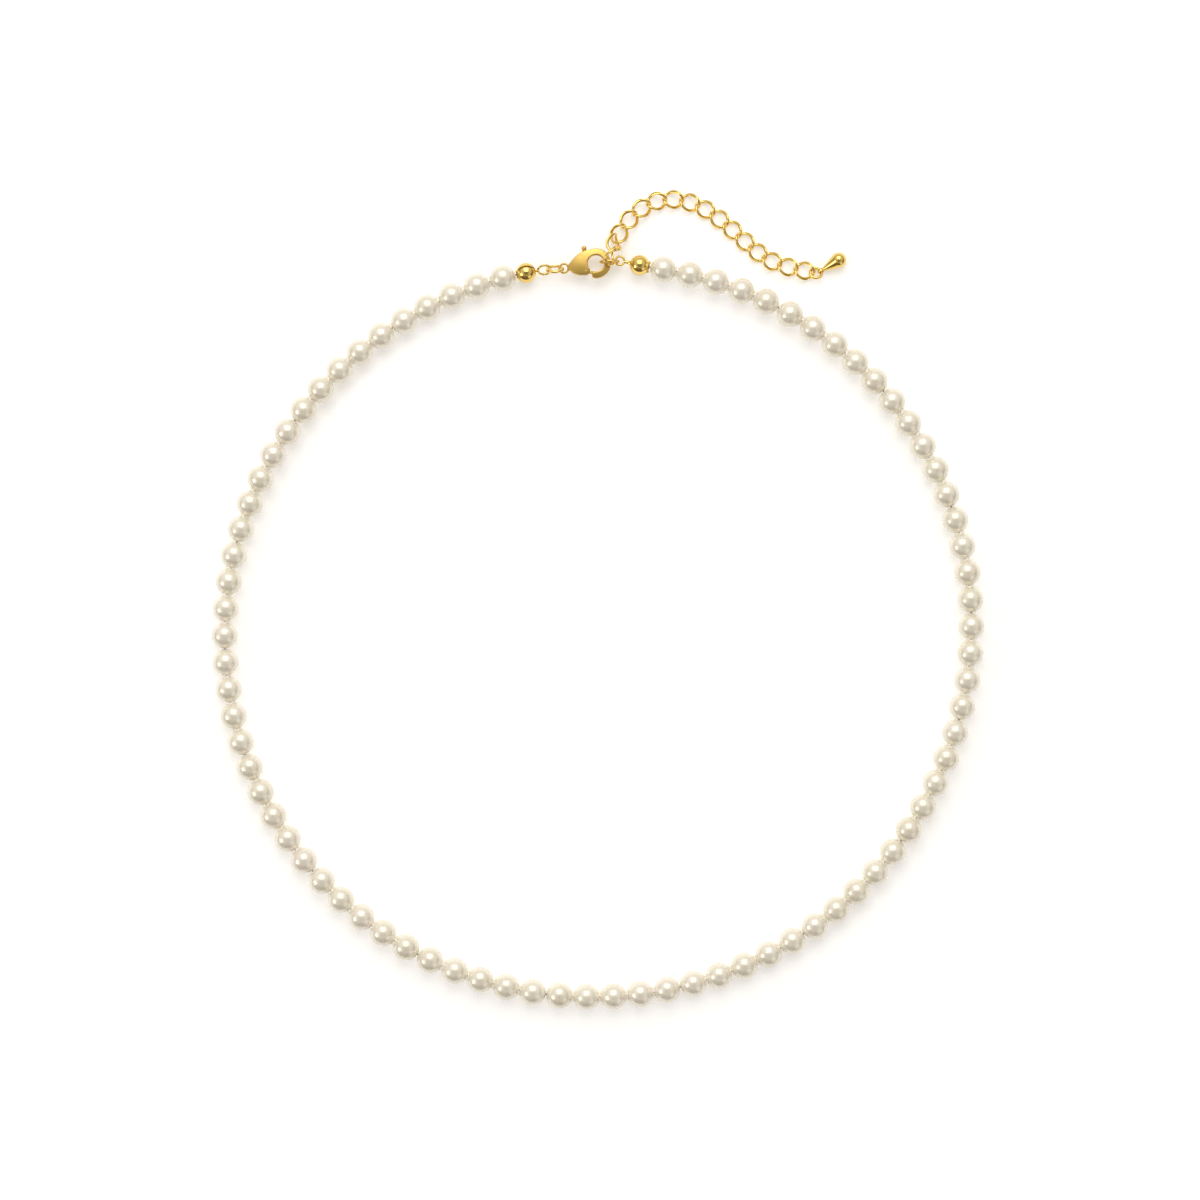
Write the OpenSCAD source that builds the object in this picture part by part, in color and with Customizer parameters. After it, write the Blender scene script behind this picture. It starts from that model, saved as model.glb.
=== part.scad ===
// Choker-length pearl necklace, closed and lying flat on a surface at z = 0.
// A single strand of drilled round pearls ends in two clamshell bead tips. The left one holds a
// lobster clasp on a jump ring. The right one holds a jump ring that the clasp hooks on to, and
// the curb extension chain that ends in a teardrop. The origin is the middle of the loop, on the
// surface. +Y points at the clasp, and the extension chain lies on the +X side.

/* [Pearls] */
// Diameter of each pearl
pearl_d = 5; // [4.95:0.01:5.02]
// Gap between neighbouring pearls
pearl_gap = 0.08; // [0.06:0.01:0.1]
// Diameter of the hole drilled through each pearl
bore_d = 0.8; // [0.7:0.05:1]
// Diameter of the beading thread
thread_d = 0.4; // [0.3:0.05:0.4]
// How far the loop is drawn out into an oval, as a share of its radius
oval = 0.012; // [0:0.001:0.015]
// Direction of the oval's long axis, in degrees clockwise from the clasp
oval_axis = 75; // [60:1:90]

/* [Bead tips] */
// Outer diameter of a bead tip's ball
tip_ball_d = 3.8; // [3.4:0.1:3.9]
// Thickness of the bead tip's sheet metal
tip_wall = 0.35; // [0.25:0.05:0.5]
// Width of the seam between a bead tip's two cups
tip_seam = 0.3; // [0.2:0.05:0.4]
// Thickness of the wire in the bead tips' loops
tip_wire = 0.45; // [0.4:0.01:0.46]
// Diameter of the crimp that stops the thread inside each bead tip
crimp_d = 1.5; // [1.2:0.1:1.8]

/* [Jump rings] */
// Thickness of the jump rings' wire
ring_wire = 0.55; // [0.45:0.01:0.56]
// Outer diameter of the left jump ring, between bead tip and clasp
left_ring_d = 3.6; // [3.5:0.05:3.65]
// Outer diameter of the right jump ring, which the clasp hooks on to
right_ring_d = 3.95; // [3.9:0.05:4]

/* [Clasp] */
// Inner diameter of the clasp's hook
hook_hole_d = 3.2; // [3:0.1:3.3]
// Outer diameter of the clasp's hook
hook_d = 5.5; // [5.2:0.1:5.6]
// Distance from the middle of the hook to the middle of the tail eye
clasp_length = 6.1; // [6:0.05:6.15]
// Thickness of the clasp at its middle
clasp_thickness = 1.9; // [1.7:0.05:2]
// Thickness of the lever inside the clasp
lever_thickness = 0.6; // [0.5:0.05:0.65]
// Diameter of the lever's pivot pin
pin_d = 0.36; // [0.3:0.02:0.4]

/* [Extension chain] */
// Length of one curb link, outside
link_length = 4.3; // [4.26:0.01:4.34]
// Width of one curb link, outside
link_width = 3.4; // [3.3:0.05:3.5]
// Thickness of the links' wire
link_wire = 0.5; // [0.46:0.01:0.52]
// Twist of a link's ends out of its own plane, in degrees
link_twist = 48; // [46:1:52]
// Distance from one link's middle to the next
link_pitch = 3.2; // [3.18:0.01:3.22]
// Outer diameter of the small ring that holds the drop
drop_ring_d = 2.7; // [2.66:0.01:2.74]
// Length of the teardrop from its eye to its round end
drop_length = 6; // [5.6:0.1:6.2]
// Diameter of the teardrop at its thick end
drop_d = 2.9; // [2.5:0.1:2.9]

/* [Hidden] */
$fn = 48;
GOLD = "goldenrod";
IVORY = "ivory";

// The loop: a closed polygon with one pearl on each edge. The hardware of the clasp takes the
// place of the last few edges. Opposite edges are parallel, so the polygon always closes.
side_runs = [5, 5, 5, 4, 4, 5, 5, 5];        // pearls in each run of one side, from the front up
front_run = 5;                               // pearls in the run opposite the clasp
clasp_pitches = 5;                           // edges of the loop that the clasp hardware takes
side_count = len(side_runs);
pearl_count = front_run + 2 * total(side_runs, side_count);
pitches = pearl_count + clasp_pitches;
pitch = pearl_d + pearl_gap;
strand_z = pearl_d / 2;
oval_swing = 1.5 * oval * 180 / PI;
first_edge = (clasp_pitches + 1) / 2;        // edge of the first pearl on the clasp's right
front_edge = pitches / 2;                    // edge of the pearl opposite the clasp
loop_start = -total([for (k = [0:front_edge - 1]) edge_step(k)], front_edge) / 2;
corners = [for (k = 0, p = loop_start; k <= pitches; p = p + edge_step(k), k = k + 1) p];

// Bead tips: a ball on the last pearl's thread and a loop beyond it.
tip_heading_left = 7;
tip_heading_right = 165;
tip_ball_at = tip_ball_d / 2 + 0.08;         // ball's middle from the last corner of the strand
tip_loop_left_at = 5.45;                     // loop's middle from the last corner of the strand
tip_loop_right_at = 5.78;
tip_loop_left_d = 2.8;
tip_loop_right_d = 2.1;
tip_loop_tilt = 50;                          // roll of the left loop about the tip's axis
tip_seam_roll_left = -35;                    // roll of the seams about the tips' axes
tip_seam_roll_right = 90;
crimp_length = 1.4;
crimp_bore_d = thread_d + 0.1;

// Jump rings
left_ring_at = [-5, 68.3, strand_z];
left_ring_tilt = -64;
right_ring_at = [5.3, 69.2, strand_z];
ring_cut = 0.06;                             // the closed split in each jump ring

// Clasp, drawn flat around the middle of its hook, with the tail towards -X
clasp_at = [2.75, 69, strand_z];
clasp_heading = 6;
eye_d = 2.1;
eye_hole_d = 1.3;
eye_thickness = 0.6;
dome_radius = 18;                            // both faces of the clasp are slightly domed
dome_x = -1;
mouth_from = 222;                            // the hook's mouth, as angles around the hook hole
mouth_to = 257;
pivot = [-2.05, -1.23];                      // lever pin
pivot_boss_d = 1.2;
// The body's upper edge from the eye to the hook, and its lower edge from the pin to the eye
clasp_shoulder = [[-4.6, 1], [-3.6, 1.82], [-2.6, 2.38], [-1.6, 2.66], [-0.5, 2.7]];
clasp_belly = [[-1.9, -1.83], [-3.3, -1.72], [-4.4, -1.2]];
pin_clearance = 0.04;
// Outline of the hollow around the lever, from its pin: out to the hook hole, up beside the
// thumb arm, across its travel of 30 degrees and back down behind the spring
slot_outline = [
    [1.3, -0.8], [1.3, 0.6], [0.15, 0.6], [0.15, 1.3], [-0.05, 2.3], [0.75, 4.4], [0.75, 5.2],
    [-2.9, 5.2], [-2.2, 3], [-2.05, 1.6], [-0.6, -0.1], [-0.6, -0.8]
];
lever_elbow = [-2.45, 1.2];                  // the thumb arm bends round the hook hole
lever_thumb = [-1.8, 3.15];
lever_tip = [-0.76, -1.66];
lever_width = 0.55;
thumb_d = 1;
slot_clearance = 0.08;
spring_wire = 0.12;
spring_height = 0.5;
spring_legs = [110, 140];                    // directions of the spring's legs from the pin
spring_start = 0.85;                         // distance of the spring's bend from the pin
spring_end = 2.4;

// Extension chain. The first three links are heaped on the jump ring: [x, y, z, heading, dip, roll].
heaped_links = [
    [5.8, 70.3, 4, 62, 18, 74],
    [6.4, 72.7, 2.15, 76, 38, 33],
    [7.4, 74.55, 1, 58, 2, 6]
];
// The other links lie flat, each turned to its own heading.
flat_headings = [46, 34, 12, -5, -20, -33, -41, -44, -46, -41, -28, -17, -14];
flat_z = 0.95;
heap_count = len(heaped_links);
link_count = heap_count + len(flat_headings);
link_ring_points = 28;                       // points along a link's centreline
link_sides = 8;                              // sides of the link's wire
link_a = (link_length - link_wire) / 2;
link_b = (link_width - link_wire) / 2;
chain_start = [heaped_links[heap_count - 1][0], heaped_links[heap_count - 1][1]]
    + link_pitch / 2 * direction(heaped_links[heap_count - 1][3]);
flat_pivots = [
    for (i = 0, p = chain_start; i <= len(flat_headings);
         p = p + link_pitch * direction(i < len(flat_headings) ? flat_headings[i] : 0), i = i + 1) p
];

// Drop ring and teardrop
drop_wire = 0.55;
drop_ring_reach = 2.2;                       // from the last link's middle to the ring's middle
drop_ring_lift = 0.1;                        // height of the ring's middle above the links' own
drop_ring_tilt = -25;                        // roll of the ring about the last link's axis
drop_turn = 36;                              // direction of the drop around its ring
drop_pitch = -26;                            // rise of the drop out of the plane of its ring
drop_eye_d = 1.3;
drop_eye_hole_d = 0.76;
drop_eye_width = 0.7;
drop_neck_d = 0.6;                           // diameter of the teardrop's cone where it leaves the eye

// Sum of the first `count` items of a list
function total(items, count) = count == 1 ? items[0] : items[count - 1] + total(items, count - 1);

function direction(angle) = [cos(angle), sin(angle)];

// Heading of edge k of the loop. Edge 0 is in the middle of the clasp, and the loop runs clockwise.
function edge_heading(k) =
    -(360 * k / pitches + oval_swing * sin(720 * k / pitches - 2 * oval_axis));

function edge_step(k) = pitch * direction(edge_heading(k));

function edge_middle(k) = (corners[k] + corners[k + 1]) / 2;

// Number of pearls between the front run and side run i
function pearls_below(i) = i == 1 ? 0 : total(side_runs, i - 1);

// A point inside the left (side = -1) or right (side = 1) bead tip, `along` its axis from the strand
function in_tip(side, along) =
    corners[side < 0 ? pitches - first_edge + 1 : first_edge]
    + along * direction(side < 0 ? tip_heading_left : tip_heading_right);

// Corners of the strand with the thread's two ends, from the left bead tip round to the right one
function thread_route() = concat(
    [in_tip(-1, tip_ball_at + crimp_length / 2)],
    [for (k = [pitches - first_edge + 1:-1:first_edge]) corners[k]],
    [in_tip(1, tip_ball_at + crimp_length / 2)]
);

// Direction of a flat route at point i
function route_direction(route, i) =
    let (d = route[min(i + 1, len(route) - 1)] - route[max(i - 1, 0)]) d / norm(d);

// Centreline of a curb link: an oval whose ends are twisted opposite ways about its long axis
function link_point(t) = let (twist = link_twist * cos(t))
    [link_a * cos(t), link_b * sin(t) * cos(twist), link_b * sin(t) * sin(twist)];

function unit(v) = v / norm(v);

// One ring of points around a link's wire
function link_ring(t) =
    let (
        tangent = unit(link_point(t + 1) - link_point(t - 1)),
        twist = link_twist * cos(t),
        outward = unit(cross(tangent, [0, -sin(twist), cos(twist)])),
        upward = cross(outward, tangent)
    )
    [for (s = [0:link_sides - 1]) link_point(t)
        + link_wire / 2 * (cos(360 * s / link_sides) * outward + sin(360 * s / link_sides) * upward)];

// Faces that join `rings` rings of `sides` points into a tube, closed on itself or left open
function tube_faces(rings, sides, closed) = [
    for (i = [0:rings - (closed ? 1 : 2)], s = [0:sides - 1])
        let (j = (i + 1) % rings, n = (s + 1) % sides)
        [i * sides + s, i * sides + n, j * sides + n, j * sides + s]
];

module wire_ring(outer_d, wire) {
    rotate_extrude() translate([(outer_d - wire) / 2, 0]) circle(d = wire, $fn = 24);
}

module drilled_pearl() {
    rotate_extrude()
    difference() {
        circle(d = pearl_d);
        translate([-pearl_d, -pearl_d]) square([pearl_d + bore_d / 2, 2 * pearl_d]);
    }
}

// The pearls on edges first to last, each drilled along the strand
module pearl_run(first, last) {
    color(IVORY)
    for (k = [first:last])
        translate([edge_middle(k)[0], edge_middle(k)[1], strand_z])
        rotate([0, 90, edge_heading(k)]) drilled_pearl();
}

module pearls_front() {
    pearl_run(front_edge - (front_run - 1) / 2, front_edge + (front_run - 1) / 2);
}

module pearls_right(i) {
    last = front_edge - (front_run + 1) / 2 - pearls_below(i);
    pearl_run(last - side_runs[i - 1] + 1, last);
}

module pearls_left(i) {
    first = front_edge + (front_run + 1) / 2 + pearls_below(i);
    pearl_run(first, first + side_runs[i - 1] - 1);
}

module thread() {
    route = thread_route();
    sides = 8;
    ends = [[for (s = [sides - 1:-1:0]) s], [for (s = [0:sides - 1]) (len(route) - 1) * sides + s]];
    points = [
        for (i = [0:len(route) - 1], s = [0:sides - 1])
            let (d = route_direction(route, i), across = thread_d / 2 * cos(360 * s / sides))
            [route[i][0] - across * d[1], route[i][1] + across * d[0],
             strand_z + thread_d / 2 * sin(360 * s / sides)]
    ];
    color(IVORY) polyhedron(points, concat(tube_faces(len(route), sides, false), ends));
}

// A bead tip along +X from the strand's last corner: two cups joined by a fold at the thread hole,
// and a wire loop on one cup
module bead_tip(loop_d, loop_at, loop_tilt, seam_roll) {
    neck_from = tip_ball_at + tip_ball_d / 2 - tip_wall;
    neck_to = loop_at - loop_d / 2 + tip_wire / 2;
    color(GOLD) {
        translate([tip_ball_at, 0, 0]) rotate([seam_roll, 0, 0])
        difference() {
            sphere(d = tip_ball_d);
            sphere(d = tip_ball_d - 2 * tip_wall);
            rotate([0, -90, 0]) cylinder(d = bore_d, h = tip_ball_d);
            translate([-tip_ball_d / 2 + 2 * tip_wall, -tip_seam, -tip_ball_d])
                cube([tip_ball_d, tip_seam, 2 * tip_ball_d]);
        }
        translate([neck_from, 0, 0]) rotate([seam_roll, 0, 0])
            translate([0, 0, -tip_wire])
            cube([neck_to - neck_from, tip_wire, 2 * tip_wire]);
        translate([loop_at, 0, 0]) rotate([loop_tilt, 0, 0]) wire_ring(loop_d, tip_wire);
    }
}

// Places its children in the frame of the left (side = -1) or right (side = 1) bead tip
module at_tip(side) {
    base = in_tip(side, 0);
    translate([base[0], base[1], strand_z])
        rotate(side < 0 ? tip_heading_left : tip_heading_right)
        children();
}

module bead_tip_left() {
    at_tip(-1) bead_tip(tip_loop_left_d, tip_loop_left_at, tip_loop_tilt, tip_seam_roll_left);
}

module bead_tip_right() {
    at_tip(1) bead_tip(tip_loop_right_d, tip_loop_right_at, 0, tip_seam_roll_right);
}

// The squeezed tube that stops the thread inside a bead tip
module crimp(side) {
    color(GOLD)
    at_tip(side) translate([tip_ball_at - crimp_length / 2, 0, 0]) rotate([0, 90, 0])
    difference() {
        cylinder(d = crimp_d, h = crimp_length);
        translate([0, 0, -1]) cylinder(d = crimp_bore_d, h = crimp_length + 2);
    }
}

module jump_ring(outer_d, cut_angle) {
    color(GOLD)
    difference() {
        wire_ring(outer_d, ring_wire);
        rotate(cut_angle) translate([0, -ring_cut / 2, -ring_wire])
            cube([outer_d, ring_cut, 2 * ring_wire]);
    }
}

module jump_ring_left() {
    translate(left_ring_at) rotate([left_ring_tilt, 0, 0]) jump_ring(left_ring_d, 75);
}

module jump_ring_right() {
    translate(right_ring_at) rotate([90, 0, 0]) jump_ring(right_ring_d, 230);
}

// A bar with round ends between two points, drawn flat
module bar(from, to, width) {
    along = to - from;
    translate(from) circle(d = width, $fn = 24);
    translate(to) circle(d = width, $fn = 24);
    translate(from) rotate(atan2(along[1], along[0]))
        translate([0, -width / 2]) square([norm(along), width]);
}

module lever_outline(width) {
    bar(pivot, lever_elbow, width);
    bar(lever_elbow, lever_thumb, width);
    bar(pivot, lever_tip, width);
    translate(pivot) circle(d = 2 * width, $fn = 24);
}

module at_clasp() {
    translate(clasp_at) rotate(clasp_heading) children();
}

module clasp_outline() {
    eye_edge = -clasp_length + eye_d / 2;
    mouth_reach = 2 * hook_d;
    difference() {
        union() {
            circle(d = hook_d);
            polygon(concat([[eye_edge, -0.45], [eye_edge, 0.5]], clasp_shoulder, [[-0.2, 0]], clasp_belly));
        }
        circle(d = hook_hole_d);
        polygon([[0, 0], mouth_reach * direction(mouth_from), mouth_reach * direction(mouth_to)]);
    }
    translate(pivot) circle(d = pivot_boss_d);
}

// The hollow that the lever swings in, open at the thumb and towards the hook hole
module lever_slot() {
    slot_height = lever_thickness + 2 * slot_clearance;
    translate([pivot[0], pivot[1], -slot_height / 2]) linear_extrude(slot_height) polygon(slot_outline);
}

// One half of the domed faces of the clasp
module dome(side) {
    translate([dome_x, 0, side * (dome_radius - clasp_thickness / 2)])
        rotate([90, 0, 0]) sphere(r = dome_radius, $fn = 360);
}

module clasp_body() {
    color(GOLD)
    at_clasp() {
        difference() {
            intersection() {
                linear_extrude(clasp_thickness, center = true) clasp_outline();
                dome(1);
                dome(-1);
            }
            lever_slot();
            translate(pivot) cylinder(d = pin_d + pin_clearance, h = 2 * clasp_thickness, center = true);
        }
        translate([-clasp_length, 0, 0])
        difference() {
            union() {
                cylinder(d = eye_d, h = eye_thickness, center = true);
                translate([eye_d / 4, -0.5, -eye_thickness / 2]) cube([eye_d / 2, 1, eye_thickness]);
            }
            cylinder(d = eye_hole_d, h = 2 * eye_thickness, center = true);
        }
    }
}

module clasp_lever() {
    color(GOLD)
    at_clasp() difference() {
        union() {
            linear_extrude(lever_thickness, center = true) lever_outline(lever_width);
            translate(lever_thumb) sphere(d = thumb_d);
        }
        translate(pivot)
            cylinder(d = pin_d + 2 * pin_clearance, h = 2 * lever_thickness, center = true);
    }
}

module clasp_pin() {
    color(GOLD) at_clasp() translate(pivot) cylinder(d = pin_d, h = clasp_thickness, center = true);
}

// A bent leaf that pushes the thumb arm back against the clasp body
module clasp_spring() {
    bend = pivot + spring_start * direction((spring_legs[0] + spring_legs[1]) / 2);
    color("silver")
    at_clasp() translate([0, 0, -spring_height / 2]) linear_extrude(spring_height)
        for (leg = spring_legs)
            bar(bend, pivot + spring_end * direction(leg), spring_wire);
}

module curb_link() {
    points = [
        for (i = [0:link_ring_points - 1]) each link_ring(360 * i / link_ring_points)
    ];
    color(GOLD) polyhedron(points, tube_faces(link_ring_points, link_sides, true));
}

module heaped_link(i) {
    place = heaped_links[i - 1];
    translate([place[0], place[1], place[2]]) rotate([0, 0, place[3]]) rotate([0, place[4], 0])
        rotate([place[5], 0, 0]) curb_link();
}

module flat_link(i) {
    n = i - heap_count - 1;
    middle = (flat_pivots[n] + flat_pivots[n + 1]) / 2;
    translate([middle[0], middle[1], flat_z]) rotate(flat_headings[n]) curb_link();
}

module chain_link(i) {
    if (i <= heap_count) heaped_link(i);
    else flat_link(i);
}

// Places its children in the frame of the drop ring
module at_drop_ring() {
    last = len(flat_headings) - 1;
    middle = (flat_pivots[last] + flat_pivots[last + 1]) / 2
        + drop_ring_reach * direction(flat_headings[last]);
    translate([middle[0], middle[1], flat_z + drop_ring_lift])
        rotate(flat_headings[last]) rotate([drop_ring_tilt, 0, 0])
        children();
}

module drop_ring() {
    color(GOLD) at_drop_ring() wire_ring(drop_ring_d, drop_wire);
}

// Half of the teardrop's outline, to turn about its axis: a ball and the cone that runs up to it
module drop_profile(ball_at, neck_at) {
    lean = asin((drop_d - drop_neck_d) / 2 / (ball_at - neck_at));
    intersection() {
        union() {
            translate([0, ball_at]) circle(d = drop_d);
            polygon([
                [0, neck_at],
                [drop_neck_d / 2, neck_at],
                [drop_d / 2 * cos(lean), ball_at - drop_d / 2 * sin(lean)],
                [0, ball_at]
            ]);
        }
        square([drop_d, 2 * drop_length]);
    }
}

// A solid teardrop with a drilled eye at its thin end
module drop() {
    eye_reach = (drop_ring_d - drop_wire) / 2;
    color(GOLD)
    at_drop_ring() rotate(drop_turn) translate([eye_reach, 0, 0]) rotate([0, drop_pitch, 0])
    difference() {
        union() {
            rotate([90, 0, 0]) cylinder(d = drop_eye_d, h = drop_eye_width, center = true);
            rotate([0, 90, 0]) rotate_extrude()
                drop_profile(drop_length - (drop_d + drop_eye_d) / 2, drop_eye_hole_d / 2 + 0.1);
        }
        rotate([90, 0, 0]) cylinder(d = drop_eye_hole_d, h = 2 * drop_eye_width, center = true);
    }
}

pearls_front();
for (i = [1:side_count]) {
    pearls_right(i);
    pearls_left(i);
}
thread();
bead_tip_left();
bead_tip_right();
crimp(-1);  // crimp_left
crimp(1);  // crimp_right
jump_ring_left();
jump_ring_right();
clasp_body();
clasp_lever();
clasp_pin();
clasp_spring();
for (i = [1:link_count])
    chain_link(i);
drop_ring();
drop();
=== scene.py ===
"""Pearl necklace lying flat: the looks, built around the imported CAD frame.

Shapes are made in millimetres, in the frame of the CAD model, and scaled to metres when their
objects are made. Each moving piece rides on the CAD body that it belongs to.
"""

import math
import random

import bmesh
import bpy
from mathutils import Matrix, Vector, noise


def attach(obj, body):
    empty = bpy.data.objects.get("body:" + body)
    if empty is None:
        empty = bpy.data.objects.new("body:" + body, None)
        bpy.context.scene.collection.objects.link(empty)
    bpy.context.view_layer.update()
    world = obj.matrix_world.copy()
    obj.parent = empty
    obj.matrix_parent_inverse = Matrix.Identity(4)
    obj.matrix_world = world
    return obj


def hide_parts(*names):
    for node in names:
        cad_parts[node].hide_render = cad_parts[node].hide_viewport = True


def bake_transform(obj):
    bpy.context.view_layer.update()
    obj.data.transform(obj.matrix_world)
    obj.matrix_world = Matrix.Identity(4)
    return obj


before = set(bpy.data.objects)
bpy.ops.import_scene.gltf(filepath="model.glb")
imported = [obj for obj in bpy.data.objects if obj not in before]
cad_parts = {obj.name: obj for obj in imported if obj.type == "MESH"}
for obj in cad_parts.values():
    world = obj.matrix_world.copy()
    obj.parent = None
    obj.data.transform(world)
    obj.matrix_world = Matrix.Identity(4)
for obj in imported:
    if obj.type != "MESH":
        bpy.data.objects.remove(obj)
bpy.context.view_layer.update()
MM = 0.001
TAU = 2 * math.pi
UP = Vector((0, 0, 1))
POLE = 0.001              # radius of a turned solid's pole, so that no two of its points meet
random.seed(81)

# ------------------------------------------------- sizes, as in the CAD model (mm and degrees)
PEARL_D = 5.0
PEARL_GAP = 0.08
BORE_D = 0.8
THREAD_D = 0.4
OVAL = 0.012              # how far the loop is drawn out into an oval, as a share of its radius
OVAL_AXIS = 75            # direction of the oval's long axis, clockwise from the clasp
SIDE_RUNS = [5, 5, 5, 4, 4, 5, 5, 5]
FRONT_RUN = 5
CLASP_PITCHES = 5         # the clasp section takes this many pearl pitches of the loop
PITCH = PEARL_D + PEARL_GAP
PITCHES = FRONT_RUN + 2 * sum(SIDE_RUNS) + CLASP_PITCHES
FIRST_EDGE = (CLASP_PITCHES + 1) // 2
FRONT_EDGE = PITCHES // 2
STRAND_Z = PEARL_D / 2

TIP_BALL_D = 3.8
TIP_WALL = 0.35
TIP_SEAM = 0.3
TIP_WIRE = 0.45
TIP_BALL_AT = TIP_BALL_D / 2 + 0.08
TIPS = {
    "left": {"heading": 7, "loop_at": 5.45, "loop_d": 2.8, "loop_tilt": 50, "seam_roll": -35},
    "right": {"heading": 165, "loop_at": 5.78, "loop_d": 2.1, "loop_tilt": 0, "seam_roll": 90},
}
CRIMP_LENGTH = 1.4

RING_WIRE = 0.55
JUMP_RINGS = {
    "left": {"at": (-5, 68.3, STRAND_Z), "tilt": -64, "d": 3.6, "cut": 75},
    "right": {"at": (5.3, 69.2, STRAND_Z), "tilt": 90, "d": 3.95, "cut": 230},
}
RING_CUT = 0.06

CLASP_AT = (2.75, 69, STRAND_Z)
CLASP_HEADING = 6
HOOK_D = 5.5
HOOK_HOLE_D = 3.2
CLASP_LENGTH = 6.1
CLASP_THICKNESS = 1.9
EYE_D = 2.1
EYE_HOLE_D = 1.3
EYE_THICKNESS = 0.6
MOUTH_FROM = 215
MOUTH_TO = 257
SHOULDER_FROM = 104
PIVOT = (-2.05, -1.23)
BOSS_D = 1.2
BOSS_ARC = (250, 350)
SHOULDER = [(-1.6, 2.66), (-2.6, 2.38), (-3.6, 1.82), (-4.6, 1)]
TAIL = [(-5.1, 0.5), (-5.25, 0.42), (-5.25, -0.42), (-5.1, -0.55)]
BELLY = [(-4.4, -1.2), (-3.3, -1.72)]
PIN_D = 0.36
LEVER_ELBOW = (-2.45, 1.2)
LEVER_THUMB = (-1.8, 3.15)
LEVER_TIP = (-0.76, -1.66)
LEVER_WIDTH = 0.55
LEVER_THICKNESS = 0.6
THUMB_D = 1
SLOT_HEIGHT = 0.76
SLOT_OUTLINE = [
    (1.3, -0.8), (1.3, 0.6), (0.15, 0.6), (0.15, 1.3), (-0.05, 2.3), (0.75, 4.4), (0.75, 5.2),
    (-2.9, 5.2), (-2.2, 3), (-2.05, 1.6), (-0.6, -0.1), (-0.6, -0.8),
]
SPRING_LEGS = (110, 140)
SPRING_START = 0.85
SPRING_END = 2.4
SPRING_WIRE = 0.12
SPRING_HEIGHT = 0.5

LINK_LENGTH = 4.3
LINK_WIDTH = 3.4
LINK_WIRE = 0.5
LINK_TWIST = 48
LINK_PITCH = 3.2
# x, y and z of the middle, then heading, dip and roll in degrees
HEAPED_LINKS = [
    (5.8, 70.3, 4, 62, 18, 74),
    (6.4, 72.7, 2.15, 76, 38, 33),
    (7.4, 74.55, 1, 58, 2, 6),
]
FLAT_HEADINGS = [46, 34, 12, -5, -20, -33, -41, -44, -46, -41, -28, -17, -14]
FLAT_Z = 0.95
DROP_RING_D = 2.7
DROP_WIRE = 0.55
DROP_RING_REACH = 2.2
DROP_RING_LIFT = 0.1
DROP_RING_TILT = -25
DROP_TURN = 36
DROP_PITCH = -26
DROP_LENGTH = 6
DROP_D = 2.9
DROP_EYE_D = 1.3
DROP_EYE_HOLE_D = 0.76
DROP_EYE_WIDTH = 0.7
DROP_NECK_D = 0.6

# ------------------------------------------------- sizes of the finer shapes (mm and degrees)
PEARL_RIM = 0.05          # bevel where the bore meets the collar
COLLAR_R = 1.0            # of the lacquer collar round each end of a pearl's bore
COLLAR_FOOT_R = 1.2
COLLAR_ROUND = 0.05
COLLAR_INSET = 0.005
COLLAR_ROOM = 0.01
LOOP_LEAN = 2.2           # degrees: half the bend of the loop at a gap, and a little more
RUN_LEAN = 8.3            # the same where two runs meet and the strand bends furthest
PEARL_SPREAD = 0.002      # how much smaller a pearl may be, as a share of its size
PEARL_SWELL = 0.0024      # how far its surface swells and dips, as a share of its radius
PEARL_INSET = 0.0025      # keeps the swell inside the nominal pearl
SWELL_PER_MM = 0.35

PLIES = 3
PLY_DEPTH = 0.14          # depth of the grooves between plies, as a share of the radius
THREAD_LAY = 1.2          # length of one full turn of the plies
THREAD_STEP = 0.2

TIP_RIM = 0.09            # rounding of a cup's edge
LUG_LENGTH = 0.36
LUG_RADIUS = 0.3
LUG_SPREAD = 0.84
LUG_LEAN = 24             # outwards, to follow the ball
WELD_INSET = 0.3          # how far lugs and straps sink into the ball
STRAP_WIDTH = 0.84        # where it leaves the cup
STRAP_NARROWS = 0.4       # by this much on its way to the loop
STRAP_THICKNESS = 0.4
STRAP_THICKENS = 0.06
STRAP_OFFSET = 0.2
LOOP_CUT = 176            # direction in which the loop's two wire ends face the strap
LOOP_GAP = 0.25
WIRE_END = 0.9            # a cut wire's end, as a share of its thickness

FACE_RADIUS = 18          # of the clasp's two gently domed faces
THINNEST = 0.3            # the clasp's least thickness, as a share of the greatest
DOME_MIDDLE = -1
RIVET_HEAD = 0.09

PRESS_OUT = 0.05          # how far a link's pressed sides grow outwards
PRESS_FLAT = 0.03         # and how much thinner they become
PRESS_SQUARE = 0.35       # and how much squarer
DROP_NECK_AT = DROP_EYE_HOLE_D / 2 + 0.1
DROP_NECK_OVERLAP = 0.05
DROP_RING_CUT_AT = 300    # direction of the drop ring's split


# ---------------------------------------------------------------- small helpers
def turn(axis, degrees):
    return Matrix.Rotation(math.radians(degrees), 4, axis)


def move(x, y=0.0, z=0.0):
    return Matrix.Translation((x, y, z))


def direction(degrees):
    return Vector((math.cos(math.radians(degrees)), math.sin(math.radians(degrees)), 0))


def arc(centre, radius, start, end, count):
    """Points along a flat arc, both ends included, angles in degrees."""
    step = (end - start) / (count - 1)
    angles = [math.radians(start + i * step) for i in range(count)]
    return [(centre[0] + radius * math.cos(a), centre[1] + radius * math.sin(a)) for a in angles]


def circle(centre, radius, count):
    return arc(centre, radius, 0, 360 * (count - 1) / count, count)


def oval(across, up, sides):
    """An oval section with the given half width and half height."""
    return [(across * math.cos(TAU * s / sides), up * math.sin(TAU * s / sides)) for s in range(sides)]


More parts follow.
